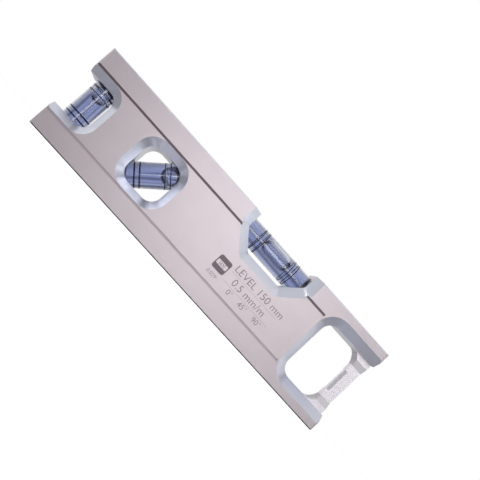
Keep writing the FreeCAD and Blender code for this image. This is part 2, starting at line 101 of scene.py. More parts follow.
def reach_along(node, along):
    """The lowest and the highest place of a CAD node's mesh along a line."""
    places = [vertex.co.dot(along) for vertex in frame["nodes"][node].data.vertices]
    return min(places), max(places)


for vial in VIALS:
    middle, along, _ = vial_line(vial)
    print(vial, "vial at", [round(v / MM, 1) for v in middle], "along", [round(v, 2) for v in along])

# %% [markdown]
# ## Camera
# The photograph is taken from almost straight in front of the bar, close to its base,
# with the camera rolled by a little over half a right angle. A camera can be turned by three
# angles, but the point where it stands, the point that it aims at and a roll about that
# line are easier to find from a picture, so it is placed by those.

# %% Place the camera
CAMERA_AT = Vector((-10.71, -263.0, 4.0)) * MM
CAMERA_AIM = Vector((5.91, -10.0, 27.4)) * MM
CAMERA_ROLL = math.radians(47.77)
LENS = 52.81
SENSOR_WIDTH = 36.0
NEAREST = 5 * MM
FARTHEST = 20.0

camera_data = bpy.data.cameras.new("photo_camera")
camera_data.lens = LENS
camera_data.sensor_width = SENSOR_WIDTH
camera_data.clip_start = NEAREST
camera_data.clip_end = FARTHEST
camera = bpy.data.objects.new("photo_camera", camera_data)
bpy.context.scene.collection.objects.link(camera)
look = (CAMERA_AIM - CAMERA_AT).normalized()
upright = look.to_track_quat("-Z", "Y")
camera.rotation_mode = "QUATERNION"
camera.location = CAMERA_AT
camera.rotation_quaternion = upright @ Matrix.Rotation(CAMERA_ROLL, 3, "Z").to_quaternion()
bpy.context.scene.camera = camera
bpy.context.scene.view_settings.view_transform = "Standard"
print("camera distance in mm:", round((CAMERA_AIM - CAMERA_AT).length / MM, 1))

# %% [markdown]
# ## Helpers for modelling
# Operators act on what is selected and active, and in the mode that Blender is in. Each
# step could set that up anew. These helpers do it once: they pick one piece, go in and
# out of edit mode, bake a piece's place into its mesh, and apply a modifier at once, so
# that what is left is plain mesh.

# %% Selection and mesh helpers


def only(piece):
    """Makes the piece the only selected one and the active one, in object mode."""
    if bpy.context.mode != "OBJECT":
        bpy.ops.object.mode_set(mode="OBJECT")
    bpy.ops.object.select_all(action="DESELECT")
    piece.select_set(True)
    bpy.context.view_layer.objects.active = piece


def edit_all(piece):
    """Goes into edit mode with the piece's whole mesh selected."""
    only(piece)
    bpy.ops.object.mode_set(mode="EDIT")
    bpy.ops.mesh.select_all(action="SELECT")


def end_edit():
    bpy.ops.object.mode_set(mode="OBJECT")


def settle(piece):
    """Bakes the object's place into its mesh, so that the object itself sits at the origin."""
    only(piece)
    bpy.ops.object.transform_apply(location=True, rotation=True, scale=True)


def apply_modifier(piece, kind, **settings):
    """Adds a modifier with these settings and turns its result into mesh."""
    only(piece)
    modifier = piece.modifiers.new(kind.lower(), kind)
    for name, value in settings.items():
        setattr(modifier, name, value)
    bpy.ops.object.modifier_apply(modifier=modifier.name)


def triangles(piece):
    return sum(len(face.vertices) - 2 for face in piece.data.polygons)


print("mesh helpers ready")

# %% [markdown]
# ## Helpers for materials
# A material is a small tree of nodes, which could be drawn by hand in the shader editor.
# In a script it is built by the same steps: add a node, set its values, wire it up. A
# value that is the same everywhere is set on the shader's own input, and only what varies
# comes over a wire.

# %% Node helpers


def set_values(node, **values):
    """Coat_Weight=0.5 sets the input called Coat Weight; any other name is an option of the node."""
    for name, value in values.items():
        socket = name.replace("_", " ")
        if socket in node.inputs:
            node.inputs[socket].default_value = value
        else:
            setattr(node, name, value)


def add_node(owner, kind, **values):
    """A new node in the tree of a material, or of the world."""
    node = owner.node_tree.nodes.new(kind)
    set_values(node, **values)
    return node


def wire(owner, start, end):
    owner.node_tree.links.new(start, end)


def new_material(name, **values):
    """A material and its shader, with these values on the shader's own inputs."""
    material = bpy.data.materials.new(name)
    material.use_nodes = True
    shader = next(node for node in material.node_tree.nodes if node.type == "BSDF_PRINCIPLED")
    set_values(shader, **values)
    return material, shader


print("node helpers ready")

# %% [markdown]
# ## Noise as the source of grain
# No real surface has one even colour and gloss. A sampled picture could carry its wear
# and grain, but noise in Object coordinates has no seams and keeps its real size on every
# piece. So each recipe below starts from a noise between 0 and 1, and turns it into a
# roughness, a shade or a mix of two colours.

# %% Noise helpers


def noise(material, scale, detail, roughness=0.5, stretch=(1, 1, 1)):
    """A noise from 0 to 1 in Object coordinates; a stretch below 1 draws it out into lines."""
    place = add_node(material, "ShaderNodeTexCoord")
    mapping = add_node(material, "ShaderNodeMapping", Scale=stretch)
    cloud = add_node(material, "ShaderNodeTexNoise", Scale=scale, Detail=detail, Roughness=roughness)
    wire(material, place.outputs["Object"], mapping.inputs["Vector"])
    wire(material, mapping.outputs["Vector"], cloud.inputs["Vector"])
    return cloud.outputs["Fac"]


def between(material, share, low, high):
    """Turns a share from 0 to 1 into a value from low to high."""
    span = add_node(material, "ShaderNodeMapRange", To_Min=low, To_Max=high)
    wire(material, share, span.inputs["Value"])
    return span.outputs["Result"]


def two_colours(material, share, first, second):
    ramp = add_node(material, "ShaderNodeValToRGB")
    for element, colour in zip(ramp.color_ramp.elements, (first, second)):
        element.color = colour
    wire(material, share, ramp.inputs["Fac"])
    return ramp.outputs["Color"]


print("noise helpers ready")

# %% [markdown]
# ## Colour as the eye sees it
# A colour picked on a screen is in sRGB, where equal steps look equal, while a shader
# wants linear light. Blender's colour picker turns one into the other by itself, and in
# a script this function does.

# %% Colour helper


def srgb(red, green, blue):
    channels = [value / 255 for value in (red, green, blue)]
    linear = [c / 12.92 if c <= 0.04045 else ((c + 0.055) / 1.055) ** 2.4 for c in channels]
    return (*linear, 1.0)


print("mid grey is", round(srgb(128, 128, 128)[0], 3))

# %% [markdown]
# ## One recipe for all metal
# Apart from the magnets, all metal of a level is the same aluminium, and what differs is
# how it was cut, besides the painted shade and painted light that some finishes carry.
# Each finish could have a tree of its own, but one recipe with other numbers keeps them
# alike: a coarse noise stirs the colour a little, a fine one stirs the roughness and makes
# the grain as a bump, and both can be drawn out into the lines that a tool leaves.

# %% Metal recipe
CLOUD_SCALE = 120.0


def metal(name, colour, rough, grain, lines=(1, 1, 1), tint_spread=0.04, shine=1.0, **values):
    """rough is (middle, spread), grain is (scale of the noise, depth), and shine is the metallic share."""
    material, shader = new_material(name, Metallic=shine, **values)
    cloud = noise(material, CLOUD_SCALE, 4.0, 0.55, lines)
    tint = between(material, cloud, 1 - tint_spread, 1 + tint_spread)
    shade = add_node(material, "ShaderNodeVectorMath", operation="SCALE", Vector=colour[:3])
    wire(material, tint, shade.inputs["Scale"])
    wire(material, shade.outputs["Vector"], shader.inputs["Base Color"])

    rough_middle, rough_spread = rough
    grain_scale, grain_depth = grain
    fine = noise(material, grain_scale, 3.0, 0.6, lines)
    roughness = between(material, fine, rough_middle - rough_spread, rough_middle + rough_spread)
    wire(material, roughness, shader.inputs["Roughness"])
    bump = add_node(material, "ShaderNodeBump", Strength=1.0, Distance=grain_depth)
    wire(material, fine, bump.inputs["Height"])
    wire(material, bump.outputs["Normal"], shader.inputs["Normal"])
    return material


print("coarse noise:", round(1 / CLOUD_SCALE / MM, 1), "mm a wave")

# %% [markdown]
# ## The metal finishes
# The faces are bead-blasted: a fine matt grain with a warm, slightly pink anodised tint.
# The bevels were cut afterwards with a sharp tool, so they are brighter and cooler, with
# faint lines round each window and a thin clear coat that catches small glints. Window
# walls are plain milled metal with lines from front to back, and the long edges have
# lines along the bar. Both grooves carry painted shade: the upper one is coloured much
# darker and the lower one a little darker than the face. The thin chamfers at the base are
# coloured dark as painted shade from under the bar. The strap bar is brighter cut metal,
# whitened further to near white as painted light, and its slopes are less mirror-like than
# its walls and whitened as well. The magnets are nickel-plated. Grain deeper than a
# micron would mottle a bright smooth surface, so bevels and strap bar have next to none.

# %% The metals
ALONG_X = (0.1, 1, 1)
ALONG_Y = (1, 0.15, 1)
ALONG_Z = (1, 1, 0.15)
ROUND_A_WINDOW = (1, 6, 1)
EVEN = (1, 1, 1)

blasted_metal = metal("blasted_aluminium", srgb(208, 199, 203), (0.47, 0.05), (5200.0, 12 * MICRON))
bright_metal = metal("bright_cut_bevel", srgb(228, 231, 243), (0.31, 0.02), (900.0, 0.6 * MICRON),
                     ROUND_A_WINDOW, 0.02, Coat_Weight=0.5, Coat_Roughness=0.12)
milled_metal = metal("milled_wall", srgb(214, 212, 220), (0.34, 0.08), (1800.0, 5 * MICRON), ALONG_Y, 0.05, 0.6)
edge_metal = metal("milled_edge", srgb(204, 196, 201), (0.40, 0.06), (2200.0, 5 * MICRON), ALONG_X)
# Painted shade: the groove colours are darkened for the shade that falls in the grooves, the upper one much
# more than the lower.
upper_groove_painted_shade = metal("upper_groove_painted_shade", srgb(130, 116, 122), (0.55, 0.06), (3000.0, 8 * MICRON), ALONG_X, 0.06)
lower_groove_painted_shade = metal("lower_groove_painted_shade", srgb(200, 190, 195), (0.55, 0.06), (3000.0, 8 * MICRON), ALONG_X, 0.06)
# Painted shade: the base's thin chamfers are coloured dark for the shade under the bar.
shaded_lower_edge = metal("lower_edge_painted_shade", srgb(110, 102, 106), (0.45, 0.08), (2200.0, 5 * MICRON), ALONG_X, 0.10)
# Painted light: the strap bar's walls and slopes are whitened almost to pure white, and the slopes made nearly
# matt, to paint in the bright light on them.
strap_painted_light = metal("strap_wall", srgb(254, 249, 255), (0.46, 0.02), (400.0, 0.1 * MICRON), ALONG_Z, 0.01, 0.7)
strap_slope_painted_light = metal("strap_slope", srgb(255, 253, 255), (0.50, 0.02), (400.0, 0.1 * MICRON), ALONG_Z, 0.01, 0.1)
magnet_metal = metal("polished_nickel", srgb(214, 210, 202), (0.22, 0.06), (2600.0, 3 * MICRON), EVEN, 0.03)
print("metals:", blasted_metal.name, bright_metal.name, milled_metal.name, edge_metal.name)

# %% [markdown]
# ## The bar
# The real bar is milled from one piece, and the CAD solid has its exact shape. It could
# be modelled again from a box, but no copy by hand would be as true. So the piece starts
# as a copy of the CAD mesh. That mesh is cut into many small triangles, and merging the
# doubled points and dissolving flat borders gives back the large flat faces that a
# bevel needs.

# %% Copy and clean the bar
MERGE = 0.002 * MM
SAME_PLANE = math.radians(0.3)
bar = frame["nodes"]["body"].copy()
bar.data = bar.data.copy()
bar.name = bar.data.name = "bar"
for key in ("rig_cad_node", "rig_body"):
    del bar[key]
bar.parent = None
bpy.context.scene.collection.objects.link(bar)
only(bar)
bpy.ops.mesh.customdata_custom_splitnormals_clear()
edit_all(bar)
bpy.ops.mesh.remove_doubles(threshold=MERGE)
bpy.ops.mesh.dissolve_limited(angle_limit=SAME_PLANE)
end_edit()
print("bar faces after cleaning:", len(bar.data.polygons))

# %% [markdown]
# ## A finish for each face
# One bar has many finishes, each on the faces that one cut made. They could be picked by
# hand in edit mode, but then every change of the CAD model would mean picking again. A
# rule does it here: each face gets its finish by where its middle lies and which way it
# looks. The front and back are matt, what slants towards them is a bright bevel, and so
# on. The first test that a face passes decides, so the narrow cases come before the broad
# ones.

# %% The rule
FLAT = 0.999
STEEP = 0.5
SLANTED = 0.3
ON_PLANE = 0.01 * MM
GROOVE_INSET = 8 * MM
GROOVE_BAND = 0.5 * MM
GROOVE_REACH = 0.65 * MM
SHADED_EDGE_BAND = 0.5 * MM
STRAP_FROM = 67 * MM
STRAP_HALF = 12.9 * MM
STRAP_RECESS = 1.0 * MM
END_CHAMFER = 1.1 * MM


def finish_of(face):
    """across, deep and upward say how much the face looks along X, Y and Z, from 0 to 1."""
    normal, middle = face.normal, face.center
    across, deep, upward = (abs(part) for part in normal)
    from_face = BAR_HALF_DEPTH - abs(middle.y)
    from_end = BAR_HALF_LENGTH - abs(middle.x)
    from_edge = min(middle.z, BAR_HEIGHT - middle.z)
    if deep > FLAT and from_face < ON_PLANE:
        return blasted_metal
    in_groove = abs(from_edge - GROOVE_INSET) < GROOVE_BAND and from_face < GROOVE_REACH
    # Groove floors and walls take the painted-shade colours.
    if in_groove and max(upward, deep) > FLAT:
        return upper_groove_painted_shade if middle.z > BAR_HEIGHT / 2 else lower_groove_painted_shade
    # Painted shade on the downward chamfers along the base.
    if normal.z < -STEEP and deep > STEEP and middle.z < SHADED_EDGE_BAND:
        return shaded_lower_edge
    on_strap = middle.x > STRAP_FROM and abs(middle.z - BAR_HEIGHT / 2) < STRAP_HALF
    if on_strap and from_face > STRAP_RECESS:
        # Strap faces take the whitened, painted-light finishes.
        return strap_painted_light if max(across, deep) > FLAT else strap_slope_painted_light
    if from_end < END_CHAMFER and from_face < END_CHAMFER and min(across, deep) > SLANTED:
        return blasted_metal
    if SLANTED < deep < FLAT:
        return bright_metal
    if (upward > FLAT and from_edge < ON_PLANE) or (across > FLAT and from_end < ON_PLANE):
        return edge_metal
    return milled_metal


print("the grooves lie", round(GROOVE_INSET / MM, 1), "mm from the long edges")

# %% [markdown]
# ## Hand out the finishes
# A mesh keeps a list of materials, and each face holds the number of one of them. The
# bar's list is filled anew, the rule names the finish of each face, and the counts show
# whether any finish was missed.

# %% Give each face its finish
finishes = [blasted_metal, bright_metal, milled_metal, edge_metal, upper_groove_painted_shade, lower_groove_painted_shade, shaded_lower_edge,
            strap_painted_light, strap_slope_painted_light]
bar.data.materials.clear()
for finish in finishes:
    bar.data.materials.append(finish)
for face in bar.data.polygons:
    face.material_index = finishes.index(finish_of(face))
counts = [sum(face.material_index == index for face in bar.data.polygons) for index in range(len(finishes))]
print("faces by finish:", dict(zip([finish.name for finish in finishes], counts)))

# %% [markdown]
# ## Soft edges
# The CAD model's edges are mathematically sharp, and real ones never are: a hair of a
# radius catches the light and draws each outline. A Bevel modifier rounds every edge
# sharper than 25 degrees, and stops where two edges would run into each other. A shader
# could fake the same with a bevelled normal, but only real mesh keeps it in an export.
# Weighted normals then keep the large faces looking flat beside the small round ones.

# %% Break the sharp edges
EDGE_RADIUS = 0.08 * MM
SHARP_FROM = math.radians(25)
SOFT_ANGLE = math.radians(60)
apply_modifier(bar, "BEVEL", width=EDGE_RADIUS, segments=2, limit_method="ANGLE", angle_limit=SHARP_FROM,
               use_clamp_overlap=True)
edit_all(bar)
bpy.ops.mesh.quads_convert_to_tris(ngon_method="BEAUTY")
end_edit()
bpy.ops.object.shade_smooth_by_angle(angle=SOFT_ANGLE)
apply_modifier(bar, "WEIGHTED_NORMAL", mode="FACE_AREA_WITH_ANGLE", weight=80, keep_sharp=True)
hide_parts("body")
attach(bar, "bar")
print("bar triangles:", triangles(bar))

# %% [markdown]
# ## Clear plastic, tinted liquid and air
# Light bends where two clear stuffs meet, and by how much depends on both. The tube
# meets air, so it takes acrylic's own index of 1.49. The liquid lies inside acrylic, so
# its surface takes the ratio of the two, and the bubble's surface takes the ratio of air
# to liquid. Nested like this, the layers need no gaps between them. The blue-violet tint
# could be a surface colour, but as absorption inside the liquid it looks deeper where
# more liquid lies in line. A soft coat gives the tube its broad highlights.

# %% Clear materials
ACRYLIC_INDEX = 1.49
LIQUID_INDEX = 1.36
WEAR_SCALE = 220.0
SPIRIT_TINT = (0.02, 0.14, 0.54, 1.0)
SPIRIT_DENSITY = 240.0
LEAST_HAZE, MOST_HAZE = 0.5, 1.5


def clear(name, index, haze, **values):
    """A clear stuff with this index, a little hazier in some places than in others."""
    material, shader = new_material(name, Base_Color=(1, 1, 1, 1), Transmission_Weight=1.0, IOR=index, **values)
    wear = noise(material, WEAR_SCALE, 2.0)
    wire(material, between(material, wear, haze * LEAST_HAZE, haze * MOST_HAZE), shader.inputs["Roughness"])
    return material


acrylic = clear("clear_acrylic", ACRYLIC_INDEX, 0.09, Coat_Weight=0.8, Coat_Roughness=0.22)
bubble_air = clear("trapped_air", 1 / LIQUID_INDEX, 0.0)
tinted_liquid = clear("tinted_spirit", LIQUID_INDEX / ACRYLIC_INDEX, 0.03)
tint = add_node(tinted_liquid, "ShaderNodeVolumeAbsorption", Color=SPIRIT_TINT, Density=SPIRIT_DENSITY)
output = next(node for node in tinted_liquid.node_tree.nodes if node.type == "OUTPUT_MATERIAL")
wire(tinted_liquid, tint.outputs["Volume"], output.inputs["Volume"])
print("the index from acrylic to liquid is", round(LIQUID_INDEX / ACRYLIC_INDEX, 3))

# %% [markdown]
# ## Turned pieces
# Tubes, chambers and bubbles are all round. A Screw modifier could spin an outline, but
# here they are built as on a lathe: a circle is extruded station by station along Z and
# scaled to each station's radius, so that the list of stations is the shape. The ends
# are closed, and the piece is then laid along its vial's line.

# %% A lathe out of extrusions
ROUND_SEGMENTS = 96


def turned(name, stations, material, segments=ROUND_SEGMENTS):
    """stations is a list of (place along Z, radius), in metres."""
    (at, radius), rest = stations[0], stations[1:]
    bpy.ops.object.select_all(action="DESELECT")
    bpy.ops.mesh.primitive_circle_add(vertices=segments, radius=radius, fill_type="NGON", location=(0, 0, at))
    piece = bpy.context.object
    piece.name = piece.data.name = name
    settle(piece)
    edit_all(piece)
    for next_at, next_radius in rest:
        bpy.ops.mesh.extrude_region_move(TRANSFORM_OT_translate={"value": (0, 0, next_at - at)})
        share = next_radius / radius
        bpy.ops.transform.resize(value=(share, share, 1), center_override=(0, 0, next_at))
        at, radius = next_at, next_radius
    bpy.ops.mesh.select_all(action="SELECT")
    bpy.ops.mesh.normals_make_consistent(inside=False)
    end_edit()
    piece.data.materials.append(material)
    return piece


def lay_along(piece, middle, along):
    """Turns the piece's own Z to the line and moves it to the middle."""
    piece.rotation_mode = "QUATERNION"
    piece.rotation_quaternion = Vector((0, 0, 1)).rotation_difference(along)
    piece.location = middle
    settle(piece)


print("a full circle has", ROUND_SEGMENTS, "segments")

# %% [markdown]
# ## Black rings
# Two pairs of thin black bands mark where the bubble may lie. They could be painted on
# the tube's material, but a real band stands a little proud and catches the light. One
# band is modelled as a short open tube, given a wall by Solidify and soft rims by Bevel,
# and every other band is a copy of it with its own mesh.

# %% Ring material and the first ring
VIAL_RADIUS = 5.0 * MM
RING_WIDTH = 0.35 * MM
RING_STANDOFF = 0.03 * MM
RING_WALL = 3 * RING_STANDOFF
RING_RIM = 0.6 * RING_STANDOFF
ROUND_ANGLE = math.radians(35)
ring_black, ring_shader = new_material("glossy_black", Roughness=0.35)
black = two_colours(ring_black, noise(ring_black, 1500.0, 3.0), srgb(16, 16, 24), srgb(34, 34, 46))
wire(ring_black, black, ring_shader.inputs["Base Color"])

bpy.ops.object.select_all(action="DESELECT")
bpy.ops.mesh.primitive_cylinder_add(
    vertices=ROUND_SEGMENTS, radius=VIAL_RADIUS + RING_STANDOFF, depth=RING_WIDTH, end_fill_type="NOTHING")
first_ring = bpy.context.object
first_ring.name = first_ring.data.name = "ring_pattern"
apply_modifier(first_ring, "SOLIDIFY", thickness=RING_WALL, offset=-1)
apply_modifier(first_ring, "BEVEL", width=RING_RIM, segments=2)
bpy.ops.object.shade_smooth_by_angle(angle=ROUND_ANGLE)
first_ring.data.materials.append(ring_black)
print("ring triangles:", triangles(first_ring))

# %% [markdown]
# ## The shapes of a vial
# Each vial is a clear rod with a chamber full of liquid. The chamber is shaped like a
# barrel: a little wider in its middle, which is what brings the bubble back to the
# centre, and rounded where it meets its end walls. Each shape is a list of stations for
# the lathe. The liquid is solid here, since its skin is the chamber's wall as well.

# %% Stations of the rod and of its chamber
CHAMBER_RADIUS = 3.5 * MM
CHAMBER_CROWN = 0.1 * MM
CHAMBER_ROUND = 0.6 * MM
END_WALL = 3.0 * MM
VIAL_EDGE = 0.3 * MM
ROD_STEPS = 12
BARREL_STEPS = 16
CORNER_STEPS = 6


def rod_stations(half):
    low_end = [(-half, VIAL_RADIUS - VIAL_EDGE), (-half + VIAL_EDGE, VIAL_RADIUS)]
    high_end = [(half - VIAL_EDGE, VIAL_RADIUS), (half, VIAL_RADIUS - VIAL_EDGE)]
    straight = [(-half + VIAL_EDGE + (half - VIAL_EDGE) * 2 * n / ROD_STEPS, VIAL_RADIUS)
                for n in range(1, ROD_STEPS)]
    return low_end + straight + high_end


def barrel_radius(share):
    """share is 0 in the chamber's middle and 1 at its ends."""
    return CHAMBER_RADIUS - CHAMBER_CROWN * share * share


def quarter_turn(steps):
    """The angles of a rounded corner, from 0 to a right angle."""
    return [math.pi / 2 * n / steps for n in range(steps + 1)]


def chamber_stations(half):
    low_end = []
    for angle in quarter_turn(CORNER_STEPS):
        inset = CHAMBER_ROUND * (1 - math.sin(angle))
        low_end.append((-half + CHAMBER_ROUND * (1 - math.cos(angle)), barrel_radius(1) - inset))
    reach = half - CHAMBER_ROUND
    barrel = [(-reach + 2 * reach * n / BARREL_STEPS, barrel_radius(abs(2 * n / BARREL_STEPS - 1)))
              for n in range(1, BARREL_STEPS)]
    high_end = [(-at, radius) for at, radius in reversed(low_end)]
    return low_end + barrel + high_end


print("chamber radius in mm, in the middle and at the ends:",
      [round(radius / MM, 2) for radius in (barrel_radius(0), barrel_radius(1))])

# %% [markdown]
# ## The three vials
# Rod, liquid and rings are now turned and laid along each vial's line. They are glued
# into the bar, so they ride with it, and the bubble alone gets a body of its own further
# on. Each piece takes the place of the CAD node that it stands for. The CAD tube has a
# hollow chamber, while this rod is solid with the liquid nested in it. Two skins that lie
# exactly in each other would flicker, and on a real vial light meets one skin there too.

# %% Build rods, liquids and rings
for vial in VIALS:
    middle, along, rings = vial_line(vial)
    low, high = reach_along(f"{vial}_vial", along)
    half = (high - low) / 2
    tube = turned(f"{vial}_tube", rod_stations(half), acrylic)
    lay_along(tube, middle, along)
    liquid = turned(f"{vial}_fluid", chamber_stations(half - END_WALL), tinted_liquid)
    lay_along(liquid, middle, along)
    layers = ((tube, f"{vial}_vial", "vial_acrylic"), (liquid, f"{vial}_liquid", "vial_liquid"))
    for piece, node, slot in layers:
        only(piece)
        bpy.ops.object.shade_smooth_by_angle(angle=ROUND_ANGLE)
        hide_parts(node)
        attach(piece, "bar")
    for number, ring_middle in enumerate(rings, 1):
        ring = first_ring.copy()
        ring.data = first_ring.data.copy()
        ring.name = ring.data.name = f"{vial}_band_{number}"
        bpy.context.scene.collection.objects.link(ring)
        lay_along(ring, ring_middle, along)
        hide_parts(f"{vial}_ring_{number}")
        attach(ring, "bar")
    print(vial, "vial is", round(half * 2 / MM, 1), "mm long")

only(first_ring)
bpy.ops.object.delete()

# %% [markdown]
# ## Bubbles
# A bubble is air with rounded ends. It could be cut out of the liquid, but then it
# couldn't slide, so it is a piece of its own, nested in the liquid, whose surface bends
# light the other way. In the level vial it floats against the top of the chamber, so it
# is pressed flatter and sits above the middle. In the two other vials it stays on the
# axis. Each bubble rides with its own body.

# %% Build the bubbles
BUBBLE_RADIUS = 2.9 * MM
BUBBLE_SEGMENTS = 64
END_STEPS = 18
END_STRETCH = 1.15
TIP_RADIUS = 0.02 * MM
FLOAT_LIFT = 0.75 * MM
FLOAT_HEIGHT = 0.86
SAME_PLACE = 1e-9


def bubble_stations(half):
    end = min(BUBBLE_RADIUS * END_STRETCH, half)
    low_end = [(-half + end * (1 - math.cos(angle)), max(BUBBLE_RADIUS * math.sin(angle), TIP_RADIUS))
               for angle in quarter_turn(END_STEPS)]
    high_end = [(-at, radius) for at, radius in reversed(low_end)]
    ends_meet = abs(high_end[0][0] - low_end[-1][0]) < SAME_PLACE
    return low_end + (high_end[1:] if ends_meet else high_end)


for vial in VIALS:
    middle, along, _ = vial_line(vial)
    node = f"{vial}_bubble"
    low, high = reach_along(node, along)
    half = (high - low) / 2
    shift = (high + low) / 2 - middle.dot(along)
    bubble = turned(f"{vial}_air", bubble_stations(half), bubble_air, BUBBLE_SEGMENTS)
    lay_along(bubble, middle + along * shift, along)
    if vial == "level":
        edit_all(bubble)
        bpy.ops.transform.resize(value=(1, 1, FLOAT_HEIGHT), center_override=tuple(middle))
        bpy.ops.transform.translate(value=(0, 0, FLOAT_LIFT))
        end_edit()
    only(bubble)
    bpy.ops.object.shade_smooth_by_angle(angle=SOFT_ANGLE)
    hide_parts(node)
    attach(bubble, node)
    print(node, "is", round(half * 2 / MM, 1), "mm long and rests", round(shift / MM, 2), "mm from the middle")

# %% [markdown]
# ## Pieces that keep their CAD shape
# The saddles over the level vial, the plugs above the two drilled sockets, the base
# magnets and the vials' own plugs are plain turned or machined forms. Modelling them
# again would add nothing, so their CAD meshes stay and only get their finish: milled
# aluminium, nickel, and milky acrylic for the vials' own plugs.

# %% Finish the carried-over pieces
plug_plastic, plug_shader = new_material("vial_plug_acrylic", Roughness=0.3)
milky = two_colours(plug_plastic, noise(plug_plastic, 700.0, 4.0), srgb(196, 200, 226), srgb(226, 230, 244))
wire(plug_plastic, milky, plug_shader.inputs["Base Color"])

kept = {
    edge_metal: ("level_saddle_left", "level_saddle_right", "plumb_bore_plug", "diagonal_bore_plug"),
    magnet_metal: tuple(f"base_magnet_{number}" for number in range(1, 5)),
    plug_plastic: ("level_vial_plug", "plumb_vial_plug", "diagonal_vial_plug"),
}
for material, names in kept.items():
    for name in names:
        mesh = frame["nodes"][name].data
        mesh.materials.clear()
        mesh.materials.append(material)
    print(material.name, "on", len(names), "nodes")

# %% [markdown]
# ## The ink of the print
# The front face carries a small block of grey print, darker than the metal round it. It
# is thin ink on an anodised skin, so it shines almost like the metal, and a noise stirs
# its grey and its gloss as a printed coat does.

# %% Print material
INK_DARK, INK_LIGHT = srgb(106, 96, 102), srgb(140, 130, 136)
INK_SMOOTH, INK_ROUGH = 0.45, 0.60
ink, ink_shader = new_material("grey_print", Metallic=0.85)
speckle = noise(ink, 2500.0, 2.0)
wire(ink, two_colours(ink, speckle, INK_DARK, INK_LIGHT), ink_shader.inputs["Base Color"])
wire(ink, between(ink, speckle, INK_SMOOTH, INK_ROUGH), ink_shader.inputs["Roughness"])
print("print material:", ink.name)

# %% [markdown]
# ## Rows of text
# The words are generic: the length, the sensitivity and the three angles that the level
# checks. A picture of them on the face would blur up close, so each row is a text object,
# made a hair thinner, given the ink's thickness and turned into mesh. It is centred on
# the face's plane, so it stands 0.01 mm proud and no surface lies exactly in another.

# %% Text as mesh
PRINT_DEPTH = 0.01 * MM
PRINT_FACE = -BAR_HALF_DEPTH
FACE_TURN = (math.pi / 2, 0, 0)
THINNER = -0.012
DEGREE = "\N{DEGREE SIGN}"
ROWS = (
    ("LEVEL 150 mm", 12.4, 18.6, 4.05),
    ("0.5 mm/m", 15.2, 14.2, 4.1),
    (f"0{DEGREE}    45{DEGREE}    90{DEGREE}", 16.2, 10.6, 3.0),
    (f"0.029{DEGREE}", 5.6, 11.0, 2.0),
)
print_parts = []


def finish_print(part, name):
    """Names a part of the print, inks it and keeps it for the joining."""
    part.name = part.data.name = name
    settle(part)
    part.data.materials.append(ink)
    print_parts.append(part)


for words, left, base, size in ROWS:
    bpy.ops.object.select_all(action="DESELECT")
    bpy.ops.object.text_add(location=(left * MM, PRINT_FACE, base * MM), rotation=FACE_TURN)
    text = bpy.context.object.data
    text.body = words
    text.size = size * MM
    text.offset = THINNER * size * MM
    text.extrude = PRINT_DEPTH
    bpy.ops.object.convert(target="MESH")
    row = bpy.context.object
    print(repr(words), "is", round(row.dimensions.x / MM, 1), "mm wide")
    finish_print(row, "row_of_text")

# %% [markdown]
# ## Dotted lines
# Two dotted lines part the rows. Fifty-six dots in a row are one dot and a rule, so a
# single small disc is modelled, and an Array modifier repeats it at a fixed pitch. Eight
# corners are enough for a dot 0.2 mm across.

# %% Dotted lines between the rows
DOT_RADIUS = 0.10 * MM
DOT_PITCH = 0.42 * MM
DOTS_FROM, DOTS_TO = 12.6, 36.2
DOTS_LEVELS = (17.7, 13.3)
dot_count = int((DOTS_TO - DOTS_FROM) * MM / DOT_PITCH)
for level in DOTS_LEVELS:
    bpy.ops.object.select_all(action="DESELECT")
    bpy.ops.mesh.primitive_cylinder_add(
        vertices=8, radius=DOT_RADIUS, depth=2 * PRINT_DEPTH, location=(DOTS_FROM * MM, PRINT_FACE, level * MM),
        rotation=FACE_TURN)
    dots = bpy.context.object
    apply_modifier(dots, "ARRAY", use_relative_offset=False, use_constant_offset=True,
                   constant_offset_displace=(DOT_PITCH, 0, 0), count=dot_count)
    print("dotted line of", dot_count, "dots")
    finish_print(dots, "dotted_line")

# %% [markdown]
# ## A small sign
# Left of the words stands a small sign of a vial: a rounded square with a window, in it
# the outline of a bubble between two marks. Each outline is a plane whose corners are
# bevelled and whose inset middle is scaled to the hole and deleted. That is simpler than
# a boolean and leaves clean borders. Solidify then gives the ink's thickness.

# %% A small sign of a vial
SIGN_MIDDLE = Vector((8.2 * MM, PRINT_FACE, 16.6 * MM))
SIGN_SIDE, SIGN_CORNER = 5.8 * MM, 0.9 * MM
WINDOW_WIDTH, WINDOW_HEIGHT = 4.9 * MM, 1.9 * MM
SIGN_BUBBLE_WIDTH, SIGN_BUBBLE_HEIGHT, SIGN_BUBBLE_CORNER = 1.5 * MM, 1.0 * MM, 0.45 * MM
MARK_OFFSET = 1.15 * MM
LINE = 0.18 * MM
INSET = 0.05 * MM


def rounded_plate(name, width, height, corner, hole_width, hole_height):
    """A rounded rectangle with a smaller one taken out of its middle: an inset face, scaled and deleted."""
    bpy.ops.object.select_all(action="DESELECT")
    bpy.ops.mesh.primitive_plane_add(size=1, location=SIGN_MIDDLE, rotation=FACE_TURN)
    part = bpy.context.object
    part.scale = (width, height, 1)
    settle(part)
    edit_all(part)
    bpy.ops.mesh.bevel(offset=corner, offset_type="OFFSET", segments=6, affect="VERTICES")
    bpy.ops.mesh.select_all(action="SELECT")
    bpy.ops.mesh.inset(thickness=INSET)
    shares = (hole_width / (width - 2 * INSET), 1, hole_height / (height - 2 * INSET))
    bpy.ops.transform.resize(value=shares, center_override=tuple(SIGN_MIDDLE))
    bpy.ops.mesh.delete(type="FACE")
    end_edit()
    apply_modifier(part, "SOLIDIFY", thickness=2 * PRINT_DEPTH, offset=0)
    finish_print(part, name)


